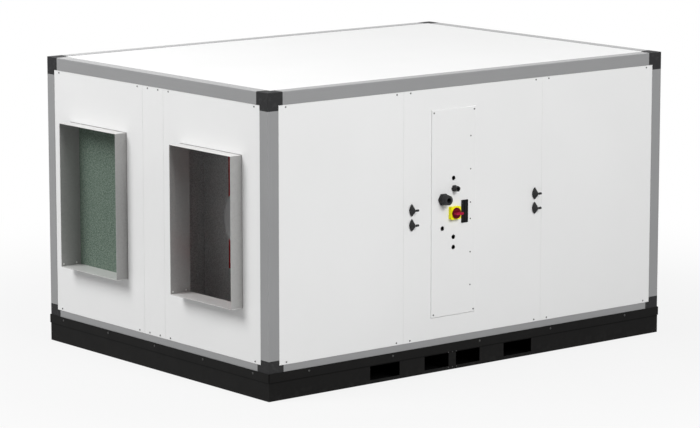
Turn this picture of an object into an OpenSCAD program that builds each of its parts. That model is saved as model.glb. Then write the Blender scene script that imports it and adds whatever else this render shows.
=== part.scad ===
// Air handling unit: a panelled casing on a steel base frame, with two air paths side by side.
// Each end has an intake with a filter mat and an outlet with a plug fan. The front carries the controls.
// Millimetres, +Z up, standing on Z = 0, +X along the casing, front face towards -Y.

/* [Casing] */
// Length of the casing over the frame profiles
case_l = 2436; // [2000:1:3200]
// Depth of the casing from front to rear
case_d = 1746; // [1500:1:2400]
// Height of the casing without the base frame
case_h = 1300; // [1150:1:1800]
// Width of the square frame profile
profile_w = 60; // [50:1:80]
// Wall of the hollow frame profile
profile_wall = 2; // [1.5:0.5:3]
// Radius on the outer edge of profiles and corner pieces
edge_r = 4; // [4:1:20]
// Width of the flange that the panels seat on
seat_flange_w = 18; // [14:1:22]
// Thickness of the flange that the panels seat on
seat_flange_t = 3; // [2:0.5:4]
// How far a corner piece's arms reach past the profile beside them
corner_extra = 24; // [23:1:60]
// Length of the plug of a corner piece inside the profile
corner_plug_l = 40; // [20:1:60]
// Gap between a corner piece's plug and the profile
corner_plug_gap = 0.5; // [0.2:0.1:1]

/* [Panels] */
// Thickness of an insulated panel
panel_t = 46; // [40:1:55]
// How far the panel faces lie behind the profile faces
panel_recess = 1; // [0:0.5:3]
// Open seam between two panels, or between a panel and a profile
panel_seam = 1.5; // [0.5:0.5:3]
// Width of the lift-off panel in the middle of the front
middle_panel_w = 860; // [700:1:1000]
// Width of the blind strip between the two duct panels of an end
centre_strip_w = 164; // [120:1:220]
// Thickness of the divider between the two air paths
divider_t = 8; // [4:1:20]

/* [Base frame] */
// Height of the base frame under the casing
base_h = 100; // [95:1:160]
// Thickness of the base's folded steel sheet
base_sheet_t = 3; // [2:0.5:5]
// Width of the folded foot flange on the floor
foot_flange_w = 45; // [30:1:60]
// Width of the folded shelf that carries the casing
shelf_w = 58; // [40:1:70]
// Height of the lip over the casing's lowest profile
lip_rise = 28; // [15:1:40]
// Lap of the lip over the base's own web
lip_lap = 13; // [5:1:14]
// Offset of the row of fork pockets from the middle of the casing
pocket_row_off = -128; // [-200:1:200]
// Distance of the two wide pockets from the middle of the row
wide_pocket_off = 412; // [330:1:480]
// Width of a wide pocket
wide_pocket_w = 178; // [120:1:200]
// Distance of the two narrow pockets from the middle of the row
narrow_pocket_off = 97; // [95:1:130]
// Width of a narrow pocket
narrow_pocket_w = 149; // [100:1:150]
// Height of all pockets
pocket_h = 66; // [50:1:70]
// Height of the pockets' sill above the floor
pocket_sill = 16; // [8:1:20]
// Width of the cross member between the narrow pockets
cross_member_w = 38; // [20:1:40]

/* [Duct collars] */
// Width of a duct collar outside
collar_w = 464; // [300:1:560]
// Height of a duct collar outside
collar_h = 700; // [400:1:900]
// How far a collar stands out of the panel
collar_reach = 65; // [40:1:100]
// Sheet thickness of a collar
collar_t = 1.5; // [1:0.5:3]
// Width of the collar's flange behind the panel
collar_flange_w = 14; // [8:1:25]
// Gap between a collar and the cut-out in its panel
collar_gap = 2; // [0.5:0.5:4]
// Thickness of a filter mat
filter_t = 48; // [20:1:100]
// How far a filter mat reaches past the collar on each side
filter_lap = 28; // [15:1:60]

/* [Fans] */
// Distance from the end of the casing to the face of the fan plate
fan_plate_x = 285; // [250:1:400]
// Width of a fan plate
fan_plate_w = 492; // [420:1:600]
// Height of a fan plate
fan_plate_h = 538; // [440:1:700]
// Thickness of a fan plate
fan_plate_t = 5; // [2:1:10]
// Thickness of the bulkhead behind a fan plate
bulkhead_t = 3; // [2:0.5:6]
// Radius of an impeller
impeller_r = 145; // [130:1:160]
// Distance from the fan plate to the outer face of the impeller's back plate
impeller_depth = 102; // [90:1:120]
// Thickness of the impeller's sheet
impeller_t = 3; // [2:0.5:5]
// Inner radius of the impeller's eye
eye_r = 95; // [85:1:105]
// Distance from the fan plate to the edge of the eye
eye_gap = 14; // [8:1:20]
// Straight height of the eye's rim
eye_rim = 11; // [6:1:16]
// Rise of the shroud from the eye to the outer edge
shroud_rise = 22; // [10:1:28]
// Number of blades
blade_n = 7; // [5:1:9]
// Radius of a blade's curve
blade_curve_r = 105; // [100:1:115]
// Offset of a blade's curve from the axis
blade_curve_off = 70; // [65:1:75]
// Radius where the blades begin
blade_start_r = 75; // [66:1:80]
// Radius of the impeller's hub
hub_r = 45; // [30:1:55]
// Length of the impeller's hub
hub_l = 34; // [20:1:50]
// Radius of the fan shaft
shaft_r = 15; // [8:0.5:20]
// Running gap round the fan shaft
shaft_gap = 0.06; // [0.02:0.01:0.1]
// Air gap between the nozzle and the impeller's eye
nozzle_gap = 8; // [6:1:12]
// Height of the nozzle above the fan plate
nozzle_h = 20; // [10:1:25]
// Radius of a fan motor
motor_r = 62; // [50:1:75]
// Length of a fan motor
motor_l = 110; // [80:1:160]
// Number of cooling fins round a motor
fin_n = 24; // [12:1:32]
// Height of a motor's fins
fin_h = 6; // [3:1:10]
// Thickness of a motor's fins
fin_t = 3; // [2:0.5:5]
// Air gap between the bulkhead and the motor behind it
motor_gap = 60; // [40:1:100]
// Width of the motor's bracket
bracket_w = 70; // [50:1:90]
// Sheet thickness of the motor's bracket
bracket_t = 4; // [3:0.5:6]
// Clear distance of the bracket's legs from the edge of the eye
bracket_clear = 24; // [10:1:40]
// Length of the bracket's feet on the bulkhead
bracket_foot = 28; // [20:1:40]

/* [Controls] */
// Offset of the control plate from the middle of its panel
plate_off = -128; // [-160:1:160]
// Width of the control plate
plate_w = 272; // [260:1:320]
// Distance of the control plate from the top and bottom edges of its panel
plate_margin = 99; // [60:1:200]
// How far the control plate's folded tray stands out
plate_t = 6; // [5:0.5:10]
// Sheet thickness of the control plate
plate_sheet = 2; // [1:0.5:3]
// Radius of the bend round the control plate
plate_bend = 4; // [2:0.5:4.5]
// Lap of the control plate over the edge of its window
plate_lap = 22; // [15:1:30]
// Diameter of the cable entries
entry_d = 22; // [16:0.5:26]
// Side of the isolator's square plate
isolator_w = 60; // [54:1:68]
// Thickness of the isolator's plate
isolator_t = 19; // [8:1:24]
// Radius of the isolator plate's corners
isolator_corner_r = 6; // [2:1:12]
// Diameter of the isolator's knob
knob_d = 52; // [48:1:58]
// Thickness of the isolator's knob
knob_t = 5; // [4:1:16]
// Chamfer round the front of the knob
knob_chamfer = 1.5; // [0.5:0.5:3]
// Gap between the knob and its plate
knob_gap = 2; // [1:0.5:5]
// Length of the knob's grip
grip_l = 44; // [34:1:46]
// Width of the knob's grip
grip_w = 10; // [8:1:16]
// Radius on the grip's edges
grip_r = 3.5; // [1:0.5:3.5]
// Height of the grip above the knob
grip_h = 22.5; // [10:0.5:26]
// Width of the connector housing
connector_w = 40; // [30:1:46]
// Height of the connector housing
connector_h = 108; // [80:1:130]
// Thickness of the connector housing
connector_t = 4; // [3:0.5:12]
// Rim of the connector housing round its sunk face
connector_rim = 4; // [3:0.5:6]
// Depth of the connector's sunk face
connector_sink = 2; // [1:0.5:2.5]
// Width of the connector's guide rib
connector_rib = 3; // [2:0.5:6]
// Width across the flats of the large gland
large_gland_w = 52; // [44:1:60]
// How far the large gland stands out
large_gland_reach = 45; // [30:1:55]
// Height of the large gland's hexagon
large_gland_hex = 12; // [8:1:16]
// Diameter of the large gland's bore
large_gland_bore = 24; // [14:1:28]
// Diameter of the large gland's mouth outside
large_gland_mouth = 45; // [32:1:48]
// Width across the flats of the small gland
small_gland_w = 28; // [26:1:36]
// How far the small gland stands out
small_gland_reach = 31; // [20:1:38]
// Height of the small gland's hexagon
small_gland_hex = 8; // [5:1:11]
// Diameter of the small gland's bore
small_gland_bore = 17; // [8:1:18]
// Diameter of the small gland's mouth outside
small_gland_mouth = 25; // [20:0.5:26]
// Step from a gland's hexagon in to its round cap
gland_step = 1; // [0.5:0.5:2]

/* [Latches] */
// Distance of the latches from the edges of the lift-off panel
latch_inset = 47; // [40:1:70]
// Distance between the two latches of a pair
latch_pitch = 70; // [66:1:120]
// Diameter of the rosette under a latch
rosette_d = 25; // [18:0.5:26]
// Thickness of the rosette
rosette_t = 2.5; // [2:0.5:6]
// Gap between a latch knob and its rosette
latch_gap = 1; // [0.5:0.5:3]
// Length of a latch knob's wing, upright at rest
wing_l = 58; // [44:1:60]
// Width of the wing across its middle
wing_w = 27; // [20:1:34]
// Thickness of the wing along its rim
wing_rim = 3; // [2:0.5:6]
// Height of the wing from its foot to its top
wing_h = 26; // [18:1:32]
// Diameter of the wing's top and of the lever's neck
neck_d = 7.5; // [6:0.5:9]
// Length of the lever's neck from the latch's axis
neck_l = 10; // [9:1:12]
// Diameter of the grip at the end of the lever
stem_d = 11; // [10:0.5:14]
// Length of that grip
stem_l = 15; // [10:1:18]
// Chamfer round the end of the grip
stem_chamfer = 1.5; // [0.5:0.5:3]
// Radius of the pins of knobs and latches
pin_r = 6; // [4:0.5:8]
// Running gap round those pins
pin_gap = 0.08; // [0.02:0.01:0.1]

/* [Hidden] */
$fn = 64;
// Facets of a latch wing's two arcs and of its round top
wing_fn = 96;
wing_top_fn = 32;
// Overlap that lets a cut or a joined piece pass a face cleanly
over = 1;
// Depth at which panels meet their seats, and the inner edge of the seats
seat_depth = panel_recess + panel_t;
seat_end = profile_w + seat_flange_w;
corner_arm = profile_w + corner_extra;
case_mid_z = base_h + case_h / 2;
panel_h = case_h - 2 * (profile_w + panel_seam);
front_open_l = case_l - 2 * profile_w;
end_open_w = case_d - 2 * profile_w;
side_panel_w = (front_open_l - middle_panel_w) / 2;
duct_panel_w = (end_open_w - centre_strip_w) / 2;
duct_y = (centre_strip_w + duct_panel_w) / 2;
inner_h = case_h - 2 * seat_depth;
panel_face = case_d / 2 - panel_recess;
plate_face = panel_face + plate_t;
lip_reach = base_sheet_t;
lip_top = base_h + lip_rise;
mitre_depth = shelf_w + 2 * lip_reach;
pocket_list = [[-wide_pocket_off, wide_pocket_w], [-narrow_pocket_off, narrow_pocket_w],
               [narrow_pocket_off, narrow_pocket_w], [wide_pocket_off, wide_pocket_w]];
collar_inner_w = collar_w - 2 * collar_t;
collar_inner_h = collar_h - 2 * collar_t;
collar_l = collar_reach + seat_depth + collar_t - panel_recess;
nozzle_r = eye_r - nozzle_gap;
shroud_outer_z = eye_gap + eye_rim + shroud_rise;
bulkhead_back = fan_plate_t + bulkhead_t;
bracket_l = motor_gap + motor_l;
bracket_half = eye_r + bracket_clear;
plate_h = panel_h - 2 * plate_margin;
// Places on the control plate, from its middle
control_col = -2;
side_col = -70;
entry_list = [[control_col, 161], [side_col, -71], [control_col, -117], [control_col, -166]];
isolator_pos = [control_col, -2];
connector_pos = [65, -2];
large_gland_pos = [-68, 67];
small_gland_pos = [0, 113];
isolator_face = plate_face + isolator_t;
knob_face = isolator_face + knob_gap + knob_t;
latch_face = panel_face + rosette_t;
latch_reach = latch_face + latch_gap + wing_h;
latch_x = middle_panel_w / 2 - latch_inset;
// The overall outline reaches from the foremost control in front to the base's lip behind
front_reach = max(latch_reach, knob_face + grip_h);
rear_reach = case_d / 2 + lip_reach;
outline_shift = (front_reach - rear_reach) / 2;

panel_colour = [0.89, 0.89, 0.89];
profile_colour = [0.56, 0.57, 0.58];
corner_colour = [0.22, 0.22, 0.23];
base_colour = [0.12, 0.12, 0.13];
zinc_colour = [0.62, 0.63, 0.64];
filter_colour = [0.36, 0.45, 0.39];
inner_colour = [0.45, 0.45, 0.46];
fan_red = [0.50, 0.05, 0.07];
black = [0.07, 0.07, 0.07];

// Casing frame: origin in the middle of the casing's plan, at floor level
module in_place() {
    translate([0, outline_shift, 0])
        children();
}

// Copies mirrored over the casing's middle planes
module mirrored(x = false, y = false, z = false) {
    for (mx = x ? [0, 1] : [0], my = y ? [0, 1] : [0], mz = z ? [0, 1] : [0])
        mirror([mx, 0, 0])
            mirror([0, my, 0])
                mirror([0, 0, mz])
                    children();
}

// The same thing at both ends of the casing, turned half a turn
module both_ends() {
    for (turn = [0, 180])
        rotate(turn)
            children();
}

// Something drawn upright on the front, with its foot on a plane and its height towards the viewer
module on_front(x, face, z) {
    translate([x, -face, z])
        rotate([90, 0, 0])
            children();
}

// Square with one round corner, at the origin
module corner_square(side, r) {
    difference() {
        square(side);
        difference() {
            translate([-over, -over])
                square(r + over);
            translate([r, r])
                circle(r);
        }
    }
}

// Square with four round corners, about the origin
module round_square(w, h, r) {
    square([w - 2 * r, h], center = true);
    square([w, h - 2 * r], center = true);
    for (sx = [-1, 1], sy = [-1, 1])
        translate([sx * (w / 2 - r), sy * (h / 2 - r)])
            circle(r);
}

// Section of a frame profile: a hollow square with two flanges behind the panels
module profile_section() {
    difference() {
        corner_square(profile_w, edge_r);
        translate([profile_wall, profile_wall])
            corner_square(profile_w - 2 * profile_wall, edge_r - profile_wall);
    }
    translate([profile_w - profile_wall, seat_depth])
        square([seat_flange_w + profile_wall, seat_flange_t]);
    translate([seat_depth, profile_w - profile_wall])
        square([seat_flange_t, seat_flange_w + profile_wall]);
}

module corner_posts() {
    color(profile_colour)
        mirrored(x = true, y = true)
            translate([-case_l / 2, -case_d / 2, base_h + corner_arm])
                linear_extrude(case_h - 2 * corner_arm)
                    profile_section();
}

module long_rails() {
    color(profile_colour)
        translate([0, 0, case_mid_z])
            mirrored(y = true, z = true)
                translate([corner_arm - case_l / 2, -case_d / 2, -case_h / 2])
                    rotate([90, 0, 90])
                        linear_extrude(case_l - 2 * corner_arm)
                            profile_section();
}

module short_rails() {
    color(profile_colour)
        translate([0, 0, case_mid_z])
            mirrored(x = true, z = true)
                translate([-case_l / 2, corner_arm - case_d / 2, -case_h / 2])
                    rotate([0, -90, -90])
                        linear_extrude(case_d - 2 * corner_arm)
                            profile_section();
}

// Three-way corner piece with its outer corner at the origin; the turns lay a bar along each axis
module corner_piece() {
    corner_turns = [[0, 0, 0], [90, 0, 90], [0, -90, -90]];
    plug_inset = profile_wall + corner_plug_gap;
    plug_r = edge_r - plug_inset;
    difference() {
        for (turn = corner_turns)
            rotate(turn) {
                cube([profile_w, profile_w, corner_arm]);
                translate([plug_inset, plug_inset, corner_arm - over])
                    linear_extrude(corner_plug_l + over)
                        corner_square(profile_w - 2 * plug_inset, plug_r);
            }
        for (turn = corner_turns)
            rotate(turn)
                translate([0, 0, -over])
                    linear_extrude(corner_arm + over)
                        difference() {
                            translate([-over, -over])
                                square(edge_r + over);
                            translate([edge_r, edge_r])
                                circle(edge_r);
                        }
    }
}

// Four corner pieces, at the bottom of the casing (level 0) or at its top (level 1)
module corner_set(level) {
    color(corner_colour)
        translate([0, 0, case_mid_z])
            mirror([0, 0, level])
                mirrored(x = true, y = true)
                    translate([-case_l / 2, -case_d / 2, -case_h / 2])
                        corner_piece();
}

// Insulated panel of the roof (level 1) or the floor (level 0), between the rails
module flat_panel(level) {
    color(panel_colour)
        translate([0, 0, case_mid_z])
            mirror([0, 0, level])
                translate([0, 0, panel_recess + panel_t / 2 - case_h / 2])
                    cube([front_open_l - 2 * panel_seam, end_open_w - 2 * panel_seam, panel_t],
                         center = true);
}

// Upright panel of the front, between two places along it, with a seam on each side
module front_panel(from_x, to_x) {
    width = to_x - from_x - 2 * panel_seam;
    translate([(from_x + to_x) / 2, panel_t / 2 - panel_face, case_mid_z])
        cube([width, panel_t, panel_h], center = true);
}

// Panel beside the middle one, on the front (turn 0) or on the rear (turn 180)
module side_panel(side, turn) {
    near_x = side * middle_panel_w / 2;
    far_x = side * front_open_l / 2;
    color(panel_colour)
        rotate(turn)
            front_panel(min(near_x, far_x), max(near_x, far_x));
}

// Lift-off front panel with the window behind the control plate
module front_middle_panel() {
    color(panel_colour)
        difference() {
            front_panel(-middle_panel_w / 2, middle_panel_w / 2);
            translate([plate_off, -case_d / 2, case_mid_z])
                cube([plate_w - 2 * plate_lap, 2 * seat_depth + over, plate_h - 2 * plate_lap],
                     center = true);
        }
}

module rear_middle_panel() {
    color(panel_colour)
        rotate(180)
            front_panel(-middle_panel_w / 2, middle_panel_w / 2);
}

// Panel of the left end on one side of the middle, with the cut-out for its collar
module duct_panel(side) {
    color(panel_colour)
        translate([panel_recess + panel_t / 2 - case_l / 2, side * duct_y, case_mid_z])
            difference() {
                cube([panel_t, duct_panel_w - 2 * panel_seam, panel_h], center = true);
                cube([panel_t + 2 * over, collar_w + 2 * collar_gap, collar_h + 2 * collar_gap],
                     center = true);
            }
}

module centre_strips() {
    color(panel_colour)
        both_ends()
            translate([panel_recess + panel_t / 2 - case_l / 2, 0, case_mid_z])
                cube([panel_t, centre_strip_w - 2 * panel_seam, panel_h], center = true);
}

// Sheet collar of the left end on one side of the middle, with its flange behind the panel
module duct_collar(side) {
    color(zinc_colour)
        translate([-case_l / 2 - collar_reach + panel_recess, side * duct_y, case_mid_z])
            difference() {
                union() {
                    translate([collar_l / 2, 0, 0])
                        cube([collar_l, collar_w, collar_h], center = true);
                    translate([collar_l - collar_t / 2, 0, 0])
                        cube([collar_t, collar_w + 2 * collar_flange_w, collar_h + 2 * collar_flange_w],
                             center = true);
                }
                translate([collar_l / 2, 0, 0])
                    cube([collar_l + 2 * over, collar_inner_w, collar_inner_h], center = true);
            }
}

// Filter mats behind the intake collars
module filters() {
    color(filter_colour)
        both_ends()
            translate([seat_depth + collar_t + filter_t / 2 - case_l / 2, duct_y, case_mid_z])
                cube([filter_t, collar_w + 2 * filter_lap, collar_h + 2 * filter_lap], center = true);
}

// Sheet divider between the two air paths, notched round the rails
module divider() {
    half_l = case_l / 2 - seat_depth;
    notch = seat_end - seat_depth + over;
    color(inner_colour)
        translate([0, divider_t / 2, case_mid_z])
            rotate([90, 0, 0])
                linear_extrude(divider_t)
                    difference() {
                        square([2 * half_l, inner_h], center = true);
                        for (sx = [-1, 1], sz = [-1, 1])
                            translate([sx * half_l, sz * inner_h / 2])
                                square(2 * notch, center = true);
                    }
}

// Sheet bulkheads that carry the fan plates, notched round the rails
module bulkheads() {
    span = case_d / 2 - seat_depth - divider_t / 2;
    notch = seat_end - seat_depth + over;
    color(inner_colour)
        both_ends()
            translate([fan_plate_x + fan_plate_t - case_l / 2, -divider_t / 2 - span, case_mid_z])
                rotate([90, 0, 90])
                    linear_extrude(bulkhead_t)
                        difference() {
                            translate([0, -inner_h / 2])
                                square([span, inner_h]);
                            for (sz = [-1, 1])
                                translate([0, sz * inner_h / 2])
                                    square(2 * notch, center = true);
                            translate([case_d / 2 - seat_depth - duct_y, 0])
                                circle(eye_r);
                        }
}

// Axis of the left fan, from its plate towards the outlet
module on_fan_axis() {
    translate([fan_plate_x - case_l / 2, -duct_y, case_mid_z])
        rotate([0, -90, 0])
            children();
}

// Red fan plates with their inlet nozzles
module fan_plates() {
    color(fan_red)
        both_ends()
            on_fan_axis()
                difference() {
                    union() {
                        translate([0, 0, -fan_plate_t / 2])
                            cube([fan_plate_h, fan_plate_w, fan_plate_t], center = true);
                        translate([0, 0, -over])
                            cylinder(h = nozzle_h + over, r = nozzle_r);
                    }
                    translate([0, 0, -fan_plate_t - over])
                        cylinder(h = fan_plate_t + nozzle_h + 2 * over, r = nozzle_r - fan_plate_t / 2);
                }
}

// Brackets that hold the motors behind the bulkheads: a bar with two bent legs
module fan_brackets() {
    color(zinc_colour)
        both_ends()
            on_fan_axis()
                translate([0, -bracket_w / 2, -bulkhead_back])
                    rotate([-90, 0, 0])
                        linear_extrude(bracket_w)
                            for (side = [0, 1])
                                mirror([side, 0]) {
                                    translate([-over, bracket_l])
                                        square([bracket_half + bracket_t + over, bracket_t]);
                                    translate([bracket_half, 0])
                                        square([bracket_t, bracket_l + over]);
                                    translate([bracket_half, 0])
                                        square([bracket_foot, bracket_t]);
                                }
}

// Fan motors with cooling fins, and their shafts through the eye to the impeller's hub
module fan_motors() {
    color(black)
        both_ends()
            on_fan_axis() {
                translate([0, 0, -bulkhead_back - bracket_l])
                    linear_extrude(motor_l) {
                        circle(motor_r - fin_h);
                        for (i = [0 : fin_n - 1])
                            rotate(360 * i / fin_n)
                                translate([0, -fin_t / 2])
                                    square([motor_r, fin_t]);
                    }
                translate([0, 0, -bulkhead_back - motor_gap - over])
                    cylinder(h = bulkhead_back + motor_gap + impeller_depth + over, r = shaft_r);
            }
}

// Outline of one backward-curved blade, seen along the axis
module blade_outline() {
    intersection() {
        translate([blade_curve_off, 0])
            difference() {
                circle(blade_curve_r);
                circle(blade_curve_r - impeller_t);
            }
        difference() {
            circle(impeller_r - impeller_t);
            circle(blade_start_r);
        }
        translate([-impeller_r, 0])
            square([2 * impeller_r, impeller_r]);
    }
}

// Impeller of the left fan: back plate, hub, shroud and blades
module impeller() {
    back_z = impeller_depth - impeller_t;
    rim_z = eye_gap + eye_rim;
    on_fan_axis()
        difference() {
            union() {
                translate([0, 0, back_z])
                    cylinder(h = impeller_t, r = impeller_r);
                translate([0, 0, impeller_depth - hub_l])
                    cylinder(h = hub_l, r = hub_r);
                rotate_extrude()
                    polygon([[eye_r, eye_gap], [eye_r + impeller_t, eye_gap],
                             [eye_r + impeller_t, rim_z], [impeller_r, shroud_outer_z],
                             [impeller_r, shroud_outer_z + impeller_t], [eye_r, rim_z + impeller_t]]);
                intersection() {
                    for (i = [0 : blade_n - 1])
                        rotate(360 * i / blade_n)
                            translate([0, 0, eye_gap])
                                linear_extrude(impeller_depth - eye_gap)
                                    blade_outline();
                    rotate_extrude()
                        polygon([[blade_start_r - over, rim_z], [eye_r, rim_z + impeller_t - over],
                                 [impeller_r, shroud_outer_z + impeller_t - over],
                                 [impeller_r, back_z + over], [blade_start_r - over, back_z + over]]);
                }
            }
            translate([0, 0, impeller_depth - hub_l - over])
                cylinder(h = hub_l + 2 * over, r = shaft_r + shaft_gap);
        }
}

module left_fan_impeller() {
    color(zinc_colour)
        impeller();
}

module right_fan_impeller() {
    color(zinc_colour)
        rotate(180)
            impeller();
}

// Something on the control plate, at an offset from the plate's middle
module on_plate(pos, face) {
    on_front(plate_off + pos[0], face, case_mid_z + pos[1])
        children();
}

// Section across the control plate, with its two front edges round
module plate_section(w) {
    translate([-w / 2, 0])
        square([w, plate_t - plate_bend]);
    translate([plate_bend - w / 2, 0])
        square([w - 2 * plate_bend, plate_t]);
    for (side = [-1, 1])
        translate([side * (w / 2 - plate_bend), plate_t - plate_bend])
            circle(plate_bend);
}

// Control plate: a folded tray over the window in its panel, open at the back
module control_plate() {
    color(panel_colour)
        difference() {
            on_plate([0, 0], panel_face)
                difference() {
                    intersection() {
                        rotate([90, 0, 0])
                            linear_extrude(plate_h, center = true)
                                plate_section(plate_w);
                        rotate([90, 0, 90])
                            linear_extrude(plate_w, center = true)
                                plate_section(plate_h);
                    }
                    translate([0, 0, -over])
                        linear_extrude(plate_t - plate_sheet + over)
                            square([plate_w - 2 * plate_sheet, plate_h - 2 * plate_sheet], center = true);
                    translate([0, 0, -plate_bend])
                        linear_extrude(plate_bend)
                            square([plate_w + 2 * over, plate_h + 2 * over], center = true);
                }
            for (pos = entry_list)
                on_plate(pos, panel_face - over)
                    cylinder(h = plate_t + 2 * over, d = entry_d);
            on_plate(large_gland_pos, panel_face - over)
                cylinder(h = plate_t + 2 * over, d = large_gland_bore);
            on_plate(small_gland_pos, panel_face - over)
                cylinder(h = plate_t + 2 * over, d = small_gland_bore);
        }
}

module isolator_plate() {
    color("yellow")
        on_plate(isolator_pos, plate_face)
            linear_extrude(isolator_t)
                difference() {
                    round_square(isolator_w, isolator_w, isolator_corner_r);
                    circle(pin_r + pin_gap);
                }
}

// Red rotary knob with its grip lying along X at rest
module isolator_knob() {
    color(fan_red)
        on_plate(isolator_pos, plate_face) {
            cylinder(h = isolator_t + knob_gap + over, r = pin_r);
            translate([0, 0, isolator_t + knob_gap]) {
                cylinder(h = knob_t - knob_chamfer, d = knob_d);
                translate([0, 0, knob_t - knob_chamfer])
                    cylinder(h = knob_chamfer, d1 = knob_d, d2 = knob_d - 2 * knob_chamfer);
                translate([0, 0, knob_t - knob_chamfer])
                    linear_extrude(grip_h + knob_chamfer)
                        round_square(grip_l, grip_w, grip_r);
            }
        }
}

// Rectangular connector housing with a sunk face on each side of a guide rib
module connector() {
    sunk_w = (connector_w - connector_rib) / 2 - connector_rim;
    sunk_h = connector_h - 2 * connector_rim;
    color(black)
        on_plate(connector_pos, plate_face)
            difference() {
                linear_extrude(connector_t)
                    round_square(connector_w, connector_h, connector_rim);
                for (side = [-1, 1])
                    translate([side * (sunk_w + connector_rib) / 2, 0, connector_t - connector_sink])
                        linear_extrude(connector_sink + over)
                            square([sunk_w, sunk_h], center = true);
            }
}

// Hexagonal cable gland with a tapered cap nut and an open mouth
module gland(width, reach, hex_h, mouth, bore) {
    hexagon_sides = 6;
    cap_d = width - 2 * gland_step;
    cap_h = (reach - hex_h) / 2;
    difference() {
        union() {
            cylinder(h = hex_h, d = width / cos(180 / hexagon_sides), $fn = hexagon_sides);
            translate([0, 0, hex_h])
                cylinder(h = cap_h, d = cap_d);
            translate([0, 0, hex_h + cap_h])
                cylinder(h = cap_h, d1 = cap_d, d2 = mouth);
        }
        translate([0, 0, -over])
            cylinder(h = reach + 2 * over, d = bore);
    }
}

module cable_glands() {
    color(black) {
        on_plate(large_gland_pos, plate_face)
            gland(large_gland_w, large_gland_reach, large_gland_hex, large_gland_mouth, large_gland_bore);
        on_plate(small_gland_pos, plate_face)
            gland(small_gland_w, small_gland_reach, small_gland_hex, small_gland_mouth, small_gland_bore);
    }
}

// Something on the lift-off panel, at one of its four latches
module on_latch(side, level) {
    on_front(side * latch_x, panel_face, case_mid_z + level * latch_pitch / 2)
        children();
}

module latch_rosettes() {
    color(black)
        for (side = [-1, 1], level = [-1, 1])
            on_latch(side, level)
                difference() {
                    cylinder(h = rosette_t, d = rosette_d);
                    translate([0, 0, -over])
                        cylinder(h = rosette_t + 2 * over, r = pin_r + pin_gap);
                }
}

// Pointed oval, upright, made by two arcs
module wing_outline() {
    arc_r = (wing_l * wing_l + wing_w * wing_w) / (4 * wing_w);
    intersection_for (side = [-1, 1])
        translate([side * (arc_r - wing_w / 2), 0])
            circle(arc_r, $fn = wing_fn);
}

// Quarter-turn latch: pin, tapered wing that stands upright at rest, and a lever along X at rest
module latch_knob(side, level) {
    color(black)
        on_latch(side, level) {
            cylinder(h = rosette_t + latch_gap + over, r = pin_r);
            translate([0, 0, rosette_t + latch_gap]) {
                hull() {
                    linear_extrude(wing_rim)
                        wing_outline();
                    cylinder(h = wing_h, d = neck_d, $fn = wing_top_fn);
                }
                translate([0, 0, wing_h - stem_d / 2])
                    rotate([0, 90, 0]) {
                        cylinder(h = neck_l + over, d = neck_d);
                        translate([0, 0, neck_l]) {
                            cylinder(h = stem_l - stem_chamfer, d = stem_d);
                            translate([0, 0, stem_l - stem_chamfer])
                                cylinder(h = stem_chamfer, d1 = stem_d, d2 = stem_d - 2 * stem_chamfer);
                        }
                    }
            }
        }
}

// Folded section of a base rail: web, foot, shelf and the lip in front of the casing
module base_section() {
    square([base_sheet_t, base_h]);
    square([foot_flange_w, base_sheet_t]);
    translate([0, base_h - base_sheet_t])
        square([shelf_w, base_sheet_t]);
    translate([-lip_reach, base_h - lip_lap])
        square([lip_reach, lip_rise + lip_lap]);
}

// Base rail of one side, mitred at both ends; long is its outer length, across the depth it stands at
module base_rail(long, across) {
    half = long / 2 + lip_reach;
    intersection() {
        translate([-half, -across / 2, 0])
            rotate([90, 0, 90])
                linear_extrude(2 * half)
                    base_section();
        linear_extrude(lip_top)
            translate([0, -across / 2 - lip_reach])
                polygon([[-half, 0], [half, 0], [half - mitre_depth, mitre_depth],
                         [mitre_depth - half, mitre_depth]]);
    }
}

// Long base rail with the fork pockets cut through its web
module pocket_rail(turn) {
    color(base_colour)
        difference() {
            rotate(turn)
                base_rail(case_l, case_d);
            for (pocket = pocket_list)
                translate([pocket_row_off + pocket[0], 0, pocket_sill + pocket_h / 2])
                    cube([pocket[1], 2 * case_d, pocket_h], center = true);
        }
}

module end_rail(turn) {
    color(base_colour)
        rotate(turn)
            base_rail(case_d, case_l);
}

// Hollow cross member bolted between the two long rails
module base_cross_member() {
    height = base_h - 2 * base_sheet_t;
    color(base_colour)
        translate([pocket_row_off, 0, base_h / 2])
            difference() {
                cube([cross_member_w, case_d - 2 * base_sheet_t, height], center = true);
                cube([cross_member_w - 2 * base_sheet_t, case_d, height - 2 * base_sheet_t], center = true);
            }
}

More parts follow.
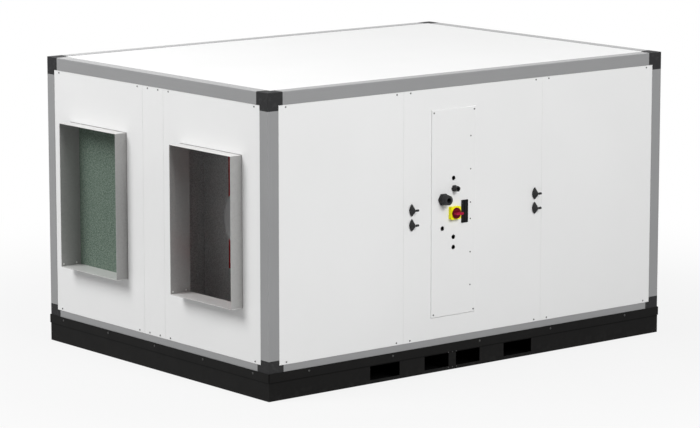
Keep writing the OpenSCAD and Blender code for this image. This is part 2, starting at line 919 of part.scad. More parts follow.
in_place() {
    pocket_rail(0);  // base_front_rail
    pocket_rail(180);  // base_rear_rail
    end_rail(-90);  // base_left_rail
    end_rail(90);  // base_right_rail
    base_cross_member();
    corner_posts();
    long_rails();
    short_rails();
    corner_set(1);  // top_corners
    corner_set(0);  // bottom_corners
    flat_panel(0);  // floor_panel
    flat_panel(1);  // roof_panel
    side_panel(-1, 0);  // front_left_panel
    front_middle_panel();
    side_panel(1, 0);  // front_right_panel
    side_panel(1, 180);  // rear_left_panel
    rear_middle_panel();
    side_panel(-1, 180);  // rear_right_panel
    duct_panel(1);  // left_intake_panel
    duct_panel(-1);  // left_outlet_panel
    rotate(180) duct_panel(1);  // right_intake_panel
    rotate(180) duct_panel(-1);  // right_outlet_panel
    centre_strips();
    duct_collar(1);  // left_intake_collar
    duct_collar(-1);  // left_outlet_collar
    rotate(180) duct_collar(1);  // right_intake_collar
    rotate(180) duct_collar(-1);  // right_outlet_collar
    filters();
    divider();
    bulkheads();
    fan_plates();
    fan_brackets();
    fan_motors();
    left_fan_impeller();
    right_fan_impeller();
    control_plate();
    isolator_plate();
    isolator_knob();
    connector();
    cable_glands();
    latch_rosettes();
    latch_knob(-1, 1);  // latch_upper_left
    latch_knob(-1, -1);  // latch_lower_left
    latch_knob(1, 1);  // latch_upper_right
    latch_knob(1, -1);  // latch_lower_right
}
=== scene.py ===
import math

import bmesh
import bpy
from mathutils import Matrix, Vector


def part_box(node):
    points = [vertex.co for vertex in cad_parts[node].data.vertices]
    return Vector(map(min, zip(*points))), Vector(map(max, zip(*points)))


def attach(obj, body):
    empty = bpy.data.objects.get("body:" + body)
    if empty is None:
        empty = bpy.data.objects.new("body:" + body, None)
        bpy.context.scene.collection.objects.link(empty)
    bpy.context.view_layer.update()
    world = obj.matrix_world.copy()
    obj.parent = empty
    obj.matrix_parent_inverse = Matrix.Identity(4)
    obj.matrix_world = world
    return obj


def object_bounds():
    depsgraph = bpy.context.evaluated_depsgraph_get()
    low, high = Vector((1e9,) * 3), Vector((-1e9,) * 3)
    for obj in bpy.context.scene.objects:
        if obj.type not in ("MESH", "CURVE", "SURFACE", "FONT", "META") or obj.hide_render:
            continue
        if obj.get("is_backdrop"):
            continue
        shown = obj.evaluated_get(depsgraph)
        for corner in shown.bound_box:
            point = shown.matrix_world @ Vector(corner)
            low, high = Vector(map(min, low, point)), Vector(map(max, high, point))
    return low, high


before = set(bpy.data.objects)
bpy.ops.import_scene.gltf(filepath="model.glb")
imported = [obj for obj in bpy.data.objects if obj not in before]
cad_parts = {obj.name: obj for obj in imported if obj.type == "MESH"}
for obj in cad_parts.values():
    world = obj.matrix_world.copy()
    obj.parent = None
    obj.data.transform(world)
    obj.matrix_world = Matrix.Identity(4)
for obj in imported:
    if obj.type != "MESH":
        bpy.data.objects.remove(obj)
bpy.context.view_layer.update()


# Base frame: four folded steel rails with a lip over the casing's lowest profile, open at its corners, and
# a hollow cross member between the two narrow fork pockets. Black powder coat with an orange-peel skin and
# dust towards the floor. Painted shade: a dark band under the lip, darker paint in the lip's open corners,
# and deep black inside the base's outline, where little light gets in.
class Tone:
    """A value that changes over a surface: an output socket that can be used in sums."""

    def __init__(self, socket):
        self.socket = socket

    def node(self, kind, settings, sockets, output=0):
        """The output of a new node, made with its settings and the values or links of its sockets."""
        tree = self.socket.id_data
        made = tree.nodes.new(kind)
        for name, value in settings.items():
            setattr(made, name, value)
        for name, value in sockets.items():
            if isinstance(value, Tone):
                tree.links.new(value.socket, made.inputs[name])
            else:
                made.inputs[name].default_value = value
        return Tone(made.outputs[output])

    def feeds(self, shader, name):
        self.socket.id_data.links.new(self.socket, shader.inputs[name])

    def maths(self, operation, *terms):
        return self.node("ShaderNodeMath", {"operation": operation}, dict(enumerate(terms)))

    def __add__(self, other):
        return self.maths("ADD", self, other)

    __radd__ = __add__

    def __sub__(self, other):
        return self.maths("SUBTRACT", self, other)

    def __rsub__(self, other):
        return self.maths("SUBTRACT", other, self)

    def __mul__(self, other):
        return self.maths("MULTIPLY", self, other)

    __rmul__ = __mul__

    def __pow__(self, other):
        return self.maths("POWER", self, other)

    def __abs__(self):
        return self.maths("ABSOLUTE", self)

    def span(self, low, high):
        """0 below low, 1 above high, with a soft step between."""
        return self.node("ShaderNodeMapRange", {"interpolation_type": "SMOOTHSTEP"},
                         {"Value": self, "From Min": low, "From Max": high})

    def between(self, low, high):
        """A colour from low to high, mixed by this value."""
        low_colour, high_colour, mixed_colour = 6, 7, 2
        return self.node("ShaderNodeMix", {"data_type": "RGBA"},
                         {"Factor": self, low_colour: (*low, 1), high_colour: (*high, 1)}, mixed_colour)

    def stretched(self, scale):
        return self.node("ShaderNodeMapping", {}, {"Vector": self, "Scale": scale})

    def grain(self, per_metre, detail=2.0, rough=0.5):
        """Cloudy noise with that many features to the metre."""
        return self.node("ShaderNodeTexNoise", {},
                         {"Vector": self, "Scale": per_metre, "Detail": detail, "Roughness": rough})

    def along(self, axis):
        return self.node("ShaderNodeSeparateXYZ", {}, {"Vector": self}, "XYZ".index(axis))

    def relief(self, shader, depth, strength):
        """Makes this value a relief that many metres deep."""
        self.node("ShaderNodeBump", {}, {"Height": self, "Distance": depth, "Strength": strength}).feeds(
            shader, "Normal")


def new_finish(name, gloss, metallic=0.0):
    """A new material with its shader and the place on the piece that its patterns follow."""
    material = bpy.data.materials.new(name)
    material.use_nodes = True
    shader = material.node_tree.nodes["Principled BSDF"]
    shader.inputs["Specular IOR Level"].default_value = gloss
    shader.inputs["Metallic"].default_value = metallic
    return material, shader, Tone(material.node_tree.nodes.new("ShaderNodeTexCoord").outputs["Object"])


def coat(material, *nodes):
    for name in nodes:
        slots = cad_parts[name].data.materials
        slots.clear()
        slots.append(material)


front_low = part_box("base_front_rail")[0]
rear_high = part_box("base_rear_rail")[1]
left_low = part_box("base_left_rail")[0]
right_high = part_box("base_right_rail")[1]
middle_x = (left_low.x + right_high.x) / 2
middle_y = (front_low.y + rear_high.y) / 2
half_l = right_high.x - middle_x
half_d = rear_high.y - middle_y
lip_t = 0.003
lip_foot_z = 0.087
lip_gap = 0.006
painted_lip_shade_h = 0.008
dust_h = 0.075
sharp_step = 0.0005
soft_step = 0.01
painted_shade_black = (0.001, 0.001, 0.001)
dusty_black = (0.027, 0.0265, 0.026)


def within_base(place, margin):
    """1 inside the base's outline by more than a margin, 0 outside, with a soft step between."""
    from_x, from_y = abs(place.along("X") - middle_x), abs(place.along("Y") - middle_y)
    return ((1 - from_x.span(half_l - margin - soft_step, half_l - margin))
            * (1 - from_y.span(half_d - margin - soft_step, half_d - margin)))


base_paint, shader, place = new_finish("base_black_paint", gloss=0.05)
height = place.along("Z")
on_lip = height.span(lip_foot_z, lip_foot_z + sharp_step)
by_end = abs(place.along("X") - middle_x).span(half_l - lip_gap - sharp_step, half_l - lip_gap)
by_side = abs(place.along("Y") - middle_y).span(half_d - lip_gap - sharp_step, half_d - lip_gap)
# Painted shade: the lip is darker in its open corners
painted_corner_shade = on_lip * by_end * by_side
dust = (1 - height.span(0.0, dust_h)) * place.grain(38, 4).span(0.42, 0.75)
# Painted shadow: a dark band just under the lip's lower edge
painted_lip_shade = height.span(lip_foot_z - painted_lip_shade_h, lip_foot_z - 0.5 * painted_lip_shade_h) * (1 - on_lip)
dust_and_painted_shade = (0.235 + 0.26 * dust + 0.15 * place.grain(9, 3)) * (1 - 0.7 * painted_lip_shade) * (1 - 0.75 * painted_corner_shade)
# Painted shade: deep black paint inside the base's outline
in_daylight = 1 - within_base(place, 2 * lip_t)
(dust_and_painted_shade * in_daylight).between(painted_shade_black, dusty_black).feeds(shader, "Base Color")
(0.42 + 0.16 * place.grain(14, 3) + 0.2 * dust).feeds(shader, "Roughness")
place.grain(420, 2).relief(shader, 0.0004, 0.5)
coat(base_paint, "base_front_rail", "base_rear_rail", "base_left_rail", "base_right_rail",
     "base_cross_member")


# Base fasteners: button-head screws through the lip into the casing's lowest profiles, and two
# rows of three small bolts where the cross member's end plate meets the web of each long rail.
# Black zinc-nickel plated steel.
def button_head(mesh, at, outward, radius, height):
    """Domed screw head with a hexagon socket, seated on a face at a point."""
    turn = Vector((0, 0, 1)).rotation_difference(Vector(outward)).to_matrix().to_4x4()
    seat = Matrix.Translation(at) @ turn
    # Each rim's share of the radius and of the height, and its sides, from the seat to the socket's floor
    steps = [(1.0, -0.15, 16), (1.0, 0.3, 16), (0.86, 0.72, 16), (0.6, 0.98, 16),
             (0.42, 0.96, 6), (0.4, 0.4, 6)]
    rims = []
    for reach, rise, sides in steps:
        rim = bmesh.ops.create_circle(mesh, segments=sides, radius=radius * reach,
                                      matrix=seat @ Matrix.Translation((0, 0, height * rise)))
        rims.append(list({edge for vert in rim["verts"] for edge in vert.link_edges}))
    for lower, upper in zip(rims, rims[1:]):
        bmesh.ops.bridge_loops(mesh, edges=lower + upper)
    bmesh.ops.contextual_create(mesh, geom=rims[0])
    bmesh.ops.contextual_create(mesh, geom=rims[-1])


def fit(mesh, name, finish, body):
    """Makes a finished mesh a piece of the object, riding on a body."""
    bmesh.ops.recalc_face_normals(mesh, faces=mesh.faces)
    data = bpy.data.meshes.new(name)
    mesh.to_mesh(data)
    mesh.free()
    data.materials.append(finish)
    piece = bpy.data.objects.new(name, data)
    bpy.context.scene.collection.objects.link(piece)
    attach(piece, body)


black_steel, shader, place = new_finish("black_plated_steel", gloss=0.4, metallic=0.8)
place.grain(300, 3).between((0.045, 0.045, 0.045), (0.09, 0.089, 0.088)).feeds(shader, "Base Color")
(0.3 + 0.25 * place.grain(160, 3)).feeds(shader, "Roughness")

lip_screw_r = 0.0052
lip_screw_h = 0.0028
lip_screw_z = 0.114
lip_screw_pitch_x = 0.495
lip_screw_pitch_y = 0.3795
middle_screw_x = 0.04
lip_screws = bmesh.new()
for step in (-2, -1, 0, 1, 2):
    x = step * lip_screw_pitch_x if step else middle_screw_x
    for y, outward in ((front_low.y, (0, -1, 0)), (rear_high.y, (0, 1, 0))):
        button_head(lip_screws, (x, y, lip_screw_z), outward, lip_screw_r, lip_screw_h)
for step in (-2, -1, 0, 1, 2):
    y = middle_y + step * lip_screw_pitch_y
    for x, outward in ((left_low.x, (-1, 0, 0)), (right_high.x, (1, 0, 0))):
        button_head(lip_screws, (x, y, lip_screw_z), outward, lip_screw_r, lip_screw_h)
fit(lip_screws, "lip_screws", black_steel, "casing")

splice_bolt_r = 0.0032
splice_bolt_h = 0.0018
splice_x = -0.128
splice_pitch = 0.025
splice_rows_z = (0.0845, 0.011)
splice_bolts = bmesh.new()
for step in (-1, 0, 1):
    x = splice_x + step * splice_pitch
    for z in splice_rows_z:
        for y, outward in ((front_low.y + lip_t, (0, -1, 0)), (rear_high.y - lip_t, (0, 1, 0))):
            button_head(splice_bolts, (x, y, z), outward, splice_bolt_r, splice_bolt_h)
fit(splice_bolts, "splice_bolts", black_steel, "casing")


# Frame profiles: extruded aluminium posts and rails with a rounded outer edge, satin anodised and pushed
# onto the corner pieces. The die leaves fine lines along each length, so posts, long rails and short rails
# have a finish each.
def anodised(name, length_axis):
    lines_across = 900.0
    lines_along = 1.6
    dull_grey = (0.22, 0.222, 0.225)
    bright_grey = (0.294, 0.296, 0.299)
    finish, shader, place = new_finish(name, gloss=0.3, metallic=0.25)
    shader.inputs["Coat Weight"].default_value = 0.4
    shader.inputs["Coat Roughness"].default_value = 0.2
    scale = [lines_across, lines_across, lines_across]
    scale["XYZ".index(length_axis)] = lines_along
    lines = place.stretched(scale).grain(1.0, 3, 0.6)
    clouds = place.grain(3.5, 3)
    (0.6 * lines + 0.4 * clouds).between(dull_grey, bright_grey).feeds(shader, "Base Color")
    (0.36 + 0.16 * lines + 0.06 * clouds).feeds(shader, "Roughness")
    lines.relief(shader, 0.00012, 0.35)
    return finish


coat(anodised("anodised_posts", "Z"), "corner_posts")
coat(anodised("anodised_long_rails", "X"), "long_rails")
coat(anodised("anodised_short_rails", "Y"), "short_rails")


# Corner pieces: three-way plugs of dark grey glass-filled nylon, pressed into the profiles.
# Moulded with a fine spark-eroded grain, slightly rubbed where hands and straps touch it.
corner_grey = (0.029, 0.029, 0.03)
rubbed_grey = (0.052, 0.052, 0.0535)
corner_nylon, shader, place = new_finish("corner_nylon", gloss=0.05)
rub = place.grain(45, 4).span(0.5, 0.8)
(0.6 * rub + 0.25 * place.grain(600, 2)).between(corner_grey, rubbed_grey).feeds(shader, "Base Color")
(0.62 - 0.14 * rub).feeds(shader, "Roughness")
place.grain(1100, 2).relief(shader, 0.0003, 0.6)
coat(corner_nylon, "top_corners", "bottom_corners")


# Panels: two skins of coated steel sheet with mineral wool between, laid in the frame from outside.
# White satin coil coating with a fine leathery skin, and the faint waves of a thin flat sheet.
# The control plate has the same coating.
soft_white = (0.735, 0.737, 0.735)
clear_white = (0.80, 0.801, 0.80)
panel_coat, shader, place = new_finish("panel_white_coat", gloss=0.35)
clouds = place.grain(2.2, 4)
speck = place.grain(520, 2)
(0.65 * clouds + 0.35 * speck).between(soft_white, clear_white).feeds(shader, "Base Color")
(0.4 + 0.12 * clouds + 0.06 * speck).feeds(shader, "Roughness")
(0.985 * place.grain(1.7, 1) + 0.015 * place.grain(650, 2)).relief(shader, 0.006, 0.35)
wall_panels = ["front_left_panel", "front_middle_panel", "front_right_panel",
               "rear_left_panel", "rear_middle_panel", "rear_right_panel",
               "left_intake_panel", "left_outlet_panel", "right_intake_panel", "right_outlet_panel"]
coat(panel_coat, *wall_panels, "centre_strips", "roof_panel", "floor_panel", "control_plate")


# Panel gaskets: pale foam strips glued round every panel to close its seams, a little behind the face.
# Each panel carries its own half of the seam, so two strips meet between neighbours.
gasket_foam, shader, place = new_finish("gasket_foam", gloss=0.2)
cells = place.grain(700, 3)
cells.between((0.7, 0.7, 0.695), (0.8, 0.8, 0.795)).feeds(shader, "Base Color")
(0.75 + 0.2 * cells).feeds(shader, "Roughness")
cells.relief(shader, 0.0004, 0.5)

half_seam = 0.0015
gasket_sunk = 0.0003
gasket_deep = 0.012
gasket_round = 0.0003
panel_t = 0.046


def gasket_bar(mesh, low, high):
    middle = Matrix.Translation((low + high) / 2)
    made = bmesh.ops.create_cube(mesh, size=1.0, matrix=middle @ Matrix.Diagonal((*(high - low), 1)))
    edges = list({edge for vert in made["verts"] for edge in vert.link_edges})
    bmesh.ops.bevel(mesh, geom=edges, offset=gasket_round, affect="EDGES", segments=2, profile=0.5,
                    material=-1)


def gasket_ring(mesh, low, high, face_axis, outward):
    """Four bars round a panel's edges; the face looks along face_axis, towards its plus or minus side."""
    across = [axis for axis in range(3) if axis != face_axis]
    near, far = low.copy(), high.copy()
    if outward > 0:
        far[face_axis] = high[face_axis] - gasket_sunk
        near[face_axis] = far[face_axis] - gasket_deep
    else:
        near[face_axis] = low[face_axis] + gasket_sunk
        far[face_axis] = near[face_axis] + gasket_deep
    for axis in across:
        for edge, side in ((low, -1), (high, 1)):
            bar_low, bar_high = near.copy(), far.copy()
            bar_low[axis] = edge[axis] - (half_seam if side < 0 else 0)
            bar_high[axis] = edge[axis] + (half_seam if side > 0 else 0)
            if axis == across[0]:
                bar_low[across[1]] -= half_seam
                bar_high[across[1]] += half_seam
            gasket_bar(mesh, bar_low, bar_high)


# The axis and the side that a panel's face looks to, by the first word of the panel's name
panel_faces = {"front": (1, -1), "rear": (1, 1), "left": (0, -1), "right": (0, 1),
               "roof": (2, 1), "floor": (2, -1)}
gaskets = bmesh.new()
for name in wall_panels + ["roof_panel", "floor_panel"]:
    gasket_ring(gaskets, *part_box(name), *panel_faces[name.split("_")[0]])
strips_low, strips_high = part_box("centre_strips")
left_strip_high, right_strip_low = strips_high.copy(), strips_low.copy()
left_strip_high.x = strips_low.x + panel_t
right_strip_low.x = strips_high.x - panel_t
gasket_ring(gaskets, strips_low, left_strip_high, *panel_faces["left"])
gasket_ring(gaskets, right_strip_low, strips_high, *panel_faces["right"])
fit(gaskets, "panel_gaskets", gasket_foam, "casing")


# Panel screws: button heads of grey plated steel with a hexagon socket, two near the top and two near
# the bottom of every upright panel, driven into the frame behind.
grey_steel, shader, place = new_finish("grey_plated_steel", gloss=0.5, metallic=0.7)
place.grain(260, 3).between((0.10, 0.10, 0.10), (0.17, 0.17, 0.168)).feeds(shader, "Base Color")
(0.32 + 0.2 * place.grain(420, 3)).feeds(shader, "Roughness")

panel_screw_r = 0.0042
panel_screw_h = 0.0024
screw_side = 0.0395
screw_end = 0.009
panel_screws = bmesh.new()
screw_rows = [(*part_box(name), *panel_faces[name.split("_")[0]]) for name in wall_panels]
screw_rows += [(strips_low, strips_high, *panel_faces[end]) for end in ("left", "right")]
for low, high, face_axis, outward in screw_rows:
    along_axis = 1 - face_axis
    for z in (low.z + screw_end, high.z - screw_end):
        for across in (low[along_axis] + screw_side, high[along_axis] - screw_side):
            at = Vector((across, across, z))
            at[face_axis] = high[face_axis] if outward > 0 else low[face_axis]
            facing = Vector((0, 0, 0))
            facing[face_axis] = outward
            button_head(panel_screws, at, facing, panel_screw_r, panel_screw_h)
fit(panel_screws, "panel_screws", grey_steel, "casing")


# Divider and bulkheads: folded sheet between the two air paths and across each fan chamber.
# Grey coating with the dull speckle of a roller-coated inner skin; the divider has a darker copy of it,
# painted shade.
def inner_coat(name, low, high):
    finish, shader, place = new_finish(name, gloss=0.25)
    speckle = place.grain(150, 4, 0.65).span(0.3, 0.7)
    (0.7 * speckle + 0.3 * place.grain(5, 3)).between(low, high).feeds(shader, "Base Color")
    (0.5 + 0.25 * speckle).feeds(shader, "Roughness")
    speckle.relief(shader, 0.0004, 0.4)
    return finish


# Painted shade: the divider's coat is a darker copy of the bulkhead's coat
coat(inner_coat("divider_painted_shade_coat", (0.235, 0.24, 0.24), (0.55, 0.562, 0.562)), "divider")
coat(inner_coat("bulkhead_grey_coat", (0.345, 0.354, 0.354), (0.715, 0.732, 0.732)), "bulkheads")


# Fan plates and motors: a red coated sheet plate with a spun inlet nozzle, bolted to the bulkhead.
# The external-rotor motor has a black cast housing with cooling fins.
fan_paint, shader, place = new_finish("fan_red_coat", gloss=0.4)
mottle = place.grain(11, 4)
mottle.between((0.4, 0.005, 0.008), (0.54, 0.009, 0.014)).feeds(shader, "Base Color")
(0.34 + 0.2 * mottle).feeds(shader, "Roughness")
place.grain(480, 2).relief(shader, 0.0003, 0.4)
coat(fan_paint, "fan_plates")

motor_casting, shader, place = new_finish("motor_black_casting", gloss=0.3)
pitted = place.grain(330, 4, 0.6)
pitted.between((0.009, 0.009, 0.0095), (0.026, 0.026, 0.026)).feeds(shader, "Base Color")
(0.45 + 0.3 * pitted).feeds(shader, "Roughness")
pitted.relief(shader, 0.0006, 0.5)
coat(motor_casting, "fan_motors")


# Impellers: pressed aluminium back plate and shroud with welded backward-curved blades, held to the
# hub by six screws. Mill finish, with turning rings about each fan's own axis.
def turned_sheet(name, axis_y, axis_z):
    rings_per_metre = 900.0
    dull_mill = (0.225, 0.226, 0.229)
    bright_mill = (0.335, 0.336, 0.34)
    finish, shader, place = new_finish(name, gloss=0.5, metallic=0.45)
    radius = ((place.along("Y") - axis_y) ** 2 + (place.along("Z") - axis_z) ** 2) ** 0.5
    rings = radius.node("ShaderNodeTexNoise", {"noise_dimensions": "1D"},
                        {"W": radius, "Scale": rings_per_metre, "Detail": 3.0})
    (0.7 * rings + 0.3 * place.grain(24, 3)).between(dull_mill, bright_mill).feeds(shader, "Base Color")
    (0.3 + 0.22 * rings).feeds(shader, "Roughness")
    rings.relief(shader, 0.00012, 0.4)
    return finish


hub_screw_r = 0.0055
hub_screw_h = 0.0032
hub_circle_r = 0.03
hub_screw_count = 6
for node in ("left_fan_impeller", "right_fan_impeller"):
    low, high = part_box(node)
    axis_y, axis_z = (low.y + high.y) / 2, (low.z + high.z) / 2
    coat(turned_sheet(node + "_mill_finish", axis_y, axis_z), node)
    face, outward, body = (low.x, -1, "left_fan") if node.startswith("left") else (high.x, 1, "casing")
    hub_screws = bmesh.new()
    for step in range(hub_screw_count):
        turn = math.radians(360 / hub_screw_count * step)
        at = (face, axis_y + hub_circle_r * math.cos(turn), axis_z + hub_circle_r * math.sin(turn))
        button_head(hub_screws, at, (outward, 0, 0), hub_screw_r, hub_screw_h)
    fit(hub_screws, node + "_hub_screws", grey_steel, body)


# Filter mats: needled synthetic fibre, loose on the air side, held behind the intake collars.
# Green-grey, with tufts of lighter fibre over a darker ground.
ground_green = (0.072, 0.108, 0.084)
tuft_green = (0.2, 0.253, 0.211)
filter_fibre, shader, place = new_finish("filter_fibre", gloss=0.08)
tufts = place.grain(190, 4, 0.6)
strands = place.stretched((1.0, 1.0, 0.25)).grain(520, 4, 0.7)
cross_strands = place.stretched((1.0, 0.25, 1.0)).grain(520, 4, 0.7)
fibre = (0.6 * tufts + 0.2 * strands + 0.2 * cross_strands).span(0.4, 0.6)
fibre.between(ground_green, tuft_green).feeds(shader, "Base Color")
(0.85 + 0.1 * fibre).feeds(shader, "Roughness")
fibre.relief(shader, 0.003, 0.6)
coat(filter_fibre, "filters")


# Duct collars and fan brackets: folded galvanised sheet with the leafy spangle of hot-dip zinc. Painted
# light from above: the upward faces at the collars' ledge and top heights are painted a pale grey. Each
# collar goes through the panel from inside and is fixed by alloy rivets along its lower folds.
collars = ["left_intake_collar", "left_outlet_collar", "right_intake_collar", "right_outlet_collar"]
collar_t = 0.0015
collar_flange = 0.014
collar_wall = collar_flange + collar_t
collar_low, collar_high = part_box(collars[0])
ledge_z = collar_low.z + collar_wall
top_z = collar_high.z - collar_flange
top_light_full = 0.0004
top_light_end = 0.0008
spangles_per_metre = 120.0
zinc_grey = (0.265, 0.263, 0.258)
zinc_painted_top_light = (0.82, 0.815, 0.805)

zinc_sheet, shader, place = new_finish("galvanised_sheet", gloss=0.5, metallic=0.2)
shader.inputs["Coat Weight"].default_value = 0.7
shader.inputs["Coat Roughness"].default_value = 0.18
spangle = place.node("ShaderNodeTexVoronoi", {"feature": "F1"},
                     {"Vector": place, "Scale": spangles_per_metre}, "Color")
leaf = spangle.node("ShaderNodeSeparateColor", {}, {"Color": spangle}, "Red")
cloud = place.grain(260, 4, 0.6)
height = place.along("Z")
# Painted top light: faces at the ledge and top heights are made paler
past_ledge = height.span(ledge_z + top_light_full, ledge_z + top_light_end)
on_ledge = height.span(ledge_z - top_light_end, ledge_z - top_light_full) * (1 - past_ledge)
on_top = height.span(top_z - top_light_end, top_z - top_light_full)
painted_top_light = 0.9 * on_ledge + 0.68 * on_top
(0.055 * leaf + 0.13 * cloud + 0.78 * painted_top_light).between(zinc_grey, zinc_painted_top_light).feeds(shader, "Base Color")
(0.38 + 0.2 * leaf + 0.1 * cloud).feeds(shader, "Roughness")
cloud.relief(shader, 0.0002, 0.4)
coat(zinc_sheet, *collars, "fan_brackets")

rivet_alloy, shader, place = new_finish("rivet_alloy", gloss=0.5, metallic=0.3)
place.grain(340, 3).between((0.6, 0.6, 0.595), (0.78, 0.78, 0.77)).feeds(shader, "Base Color")
(0.3 + 0.2 * place.grain(500, 2)).feeds(shader, "Roughness")

rivet_r = 0.0045
rivet_h = 0.0016
rivet_rise = 0.0105
rivet_depths = (0.013, 0.088)
collar_rivets = bmesh.new()
for name in collars:
    low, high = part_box(name)
    mouth, inward = (low.x, 1) if name.startswith("left") else (high.x, -1)
    for depth in rivet_depths:
        for y, facing in ((low.y + collar_wall, 1), (high.y - collar_wall, -1)):
            at = (mouth + inward * depth, y, low.z + collar_wall + rivet_rise)
            button_head(collar_rivets, at, (0, facing, 0), rivet_r, rivet_h)
fit(collar_rivets, "collar_rivets", rivet_alloy, "casing")


# Control plate screws: grey button heads that hold the shallow folded tray over the window in the lift-off
# panel, one in each corner, and six smaller ones down the right side for the terminal box behind it.
corner_inset_x = 0.0125
corner_inset_z = 0.014
box_screw_r = 0.0036
box_screw_h = 0.002
box_inset_x = 0.0335
box_rises = (-0.3565, -0.1995, -0.0415, 0.0365, 0.1945, 0.3515)
plate_low, plate_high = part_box("control_plate")
plate_mid = (plate_low + plate_high) / 2
plate_screws = bmesh.new()
for x in (plate_low.x + corner_inset_x, plate_high.x - corner_inset_x):
    for z in (plate_low.z + corner_inset_z, plate_high.z - corner_inset_z):
        button_head(plate_screws, (x, plate_low.y, z), (0, -1, 0), panel_screw_r, panel_screw_h)
for rise in box_rises:
    at = (plate_high.x - box_inset_x, plate_low.y, plate_mid.z + rise)
    button_head(plate_screws, at, (0, -1, 0), box_screw_r, box_screw_h)
fit(plate_screws, "plate_screws", grey_steel, "casing")


# Isolator: a rotary switch with a yellow front plate and a red knob, both gloss moulded plastic.
# The finish shows slight flow marks, and the knob's grip is a lighter red than the disc behind it, partly
# its own colour and partly painted light from above.
isolator_yellow, shader, place = new_finish("isolator_yellow_plastic", gloss=0.15)
flow = place.grain(60, 3)
flow.between((0.94, 0.86, 0.004), (1.0, 0.93, 0.01)).feeds(shader, "Base Color")
(0.28 + 0.16 * flow).feeds(shader, "Roughness")
place.grain(900, 2).relief(shader, 0.0001, 0.4)
coat(isolator_yellow, "isolator_plate")

grip_deep = 0.021
grip_full = 0.004
grip_end = 0.001
disc_red = (0.105, 0.002, 0.009)
# The grip's lighter red is partly its own colour and partly painted light from above
grip_red_and_painted_light = (0.42, 0.012, 0.05)
isolator_red, shader, place = new_finish("isolator_red_plastic", gloss=0.08)
flow = place.grain(70, 3)
disc_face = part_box("isolator_knob")[0].y + grip_deep
grip = 1 - place.along("Y").span(disc_face - grip_full, disc_face - grip_end)
(0.8 * grip + 0.2 * flow).between(disc_red, grip_red_and_painted_light).feeds(shader, "Base Color")
(0.28 + 0.18 * flow).feeds(shader, "Roughness")
place.grain(900, 2).relief(shader, 0.0001, 0.4)
coat(isolator_red, "isolator_knob")


# Black plastic parts: the two cable glands, the rosettes and levers of the quarter-turn latches, and
# the rectangular connector housing. Moulded nylon with a fine even grain; the housing is a deeper black.
def moulded_black(name, gloss, low, high):
    finish, shader, place = new_finish(name, gloss)
    grain = place.grain(850, 2)
    scuff = place.grain(90, 4).span(0.55, 0.85)
    (0.5 * grain + 0.5 * scuff).between(low, high).feeds(shader, "Base Color")
    (0.5 + 0.12 * grain - 0.1 * scuff).feeds(shader, "Roughness")
    grain.relief(shader, 0.0002, 0.5)
    return finish


coat(moulded_black("black_nylon", 0.25, (0.013, 0.013, 0.0135), (0.042, 0.042, 0.043)), "cable_glands",
     "latch_rosettes", "latch_upper_left", "latch_lower_left", "latch_upper_right", "latch_lower_right")
coat(moulded_black("connector_black", 0.1, (0.005, 0.005, 0.0053), (0.013, 0.013, 0.0133)), "connector")


# Studio: a pale floor that keeps a soft shadow and turns to plain white further out, large soft lamps
# from all sides, and the camera at the photograph's place.
def in_view(tree):
    """1 for what the camera sees, straight or in a reflection, and 0 for light on its way."""
    rays = tree.nodes.new("ShaderNodeLightPath").outputs
    return Tone(rays["Is Camera Ray"]) + Tone(rays["Is Glossy Ray"]) + Tone(rays["Is Transmission Ray"])


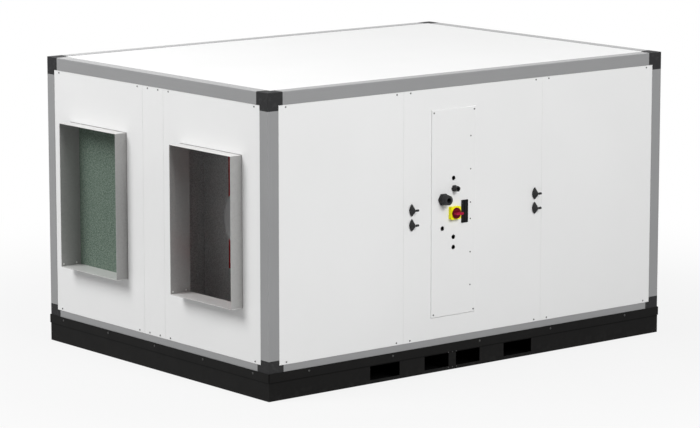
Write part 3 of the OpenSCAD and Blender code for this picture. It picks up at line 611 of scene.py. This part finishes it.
floor_half = 90.0
floor_drop = 0.0006
white_from = 1.4
white_full = 4.0
shaded_floor = (0.004, 0.004, 0.004)
open_floor_grey = (0.42, 0.42, 0.42)
floor_mesh = bmesh.new()
bmesh.ops.create_grid(floor_mesh, x_segments=1, y_segments=1, size=floor_half,
                      matrix=Matrix.Translation((0, 0, -floor_drop)))
floor_data = bpy.data.meshes.new("studio_floor")
floor_mesh.to_mesh(floor_data)
floor_mesh.free()
studio_floor = bpy.data.objects.new("studio_floor", floor_data)
bpy.context.scene.collection.objects.link(studio_floor)
studio_floor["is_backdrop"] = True

floor_paint, matt, place = new_finish("studio_floor_paint", gloss=0.0)
matt.inputs["Roughness"].default_value = 0.9
tree = floor_paint.node_tree
far_out = place.node("ShaderNodeVectorMath", {"operation": "LENGTH"}, {0: place}, "Value")
open_floor = 1 - within_base(place, 0.0)
# Painted shadow: the floor under the base is painted near black
open_floor.between(shaded_floor, open_floor_grey).feeds(matt, "Base Color")
white = place.node("ShaderNodeEmission", {}, {"Color": (1, 1, 1, 1), "Strength": 1.0})
white_share = in_view(tree) * open_floor * (0.86 + 0.14 * far_out.span(white_from, white_full))
mixed = place.node("ShaderNodeMixShader", {}, {0: white_share, 1: Tone(matt.outputs[0]), 2: white})
mixed.feeds(tree.nodes["Material Output"], "Surface")
floor_data.materials.append(floor_paint)

world = bpy.data.worlds.new("studio_world")
bpy.context.scene.world = world
world.use_nodes = True
sky = world.node_tree.nodes["Background"]
sky.inputs["Color"].default_value = (1, 1, 1, 1)
(0.25 + 0.75 * in_view(world.node_tree).span(0.0, 1.0)).feeds(sky, "Strength")

# Each lamp's place, diameter and power
lamps = {"front_softbox": ((-1.0, -10.2, 6.8), 5.0, 935), "left_softbox": ((-9.7, 3.15, 9.7), 8.0, 1490),
         "rear_softbox": ((2.0, 8.0, 5.2), 5.0, 85), "right_softbox": ((8.0, 2.0, 5.2), 5.0, 85)}
lamp_aim = Vector((0, 0, 0.8))
for name, (at, size, watts) in lamps.items():
    lamp = bpy.data.lights.new(name, "AREA")
    lamp.shape = "DISK"
    lamp.size = size
    lamp.energy = watts
    holder = bpy.data.objects.new(name, lamp)
    holder.location = at
    holder.rotation_euler = (lamp_aim - Vector(at)).to_track_quat("-Z", "Y").to_euler()
    bpy.context.scene.collection.objects.link(holder)

camera_dip = 9.762
camera_turn = -39.162
camera_data = bpy.data.cameras.new("camera")
camera_data.sensor_width = 36.0
camera_data.lens = 163.96
camera_data.clip_end = 300.0
camera = bpy.data.objects.new("camera", camera_data)
camera.location = (-9.7614, -11.9135, 3.2629)
camera.rotation_euler = (math.radians(90 - camera_dip), 0, math.radians(camera_turn))
bpy.context.scene.collection.objects.link(camera)
bpy.context.scene.camera = camera
bpy.context.scene.view_settings.view_transform = "Standard"

low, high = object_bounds()
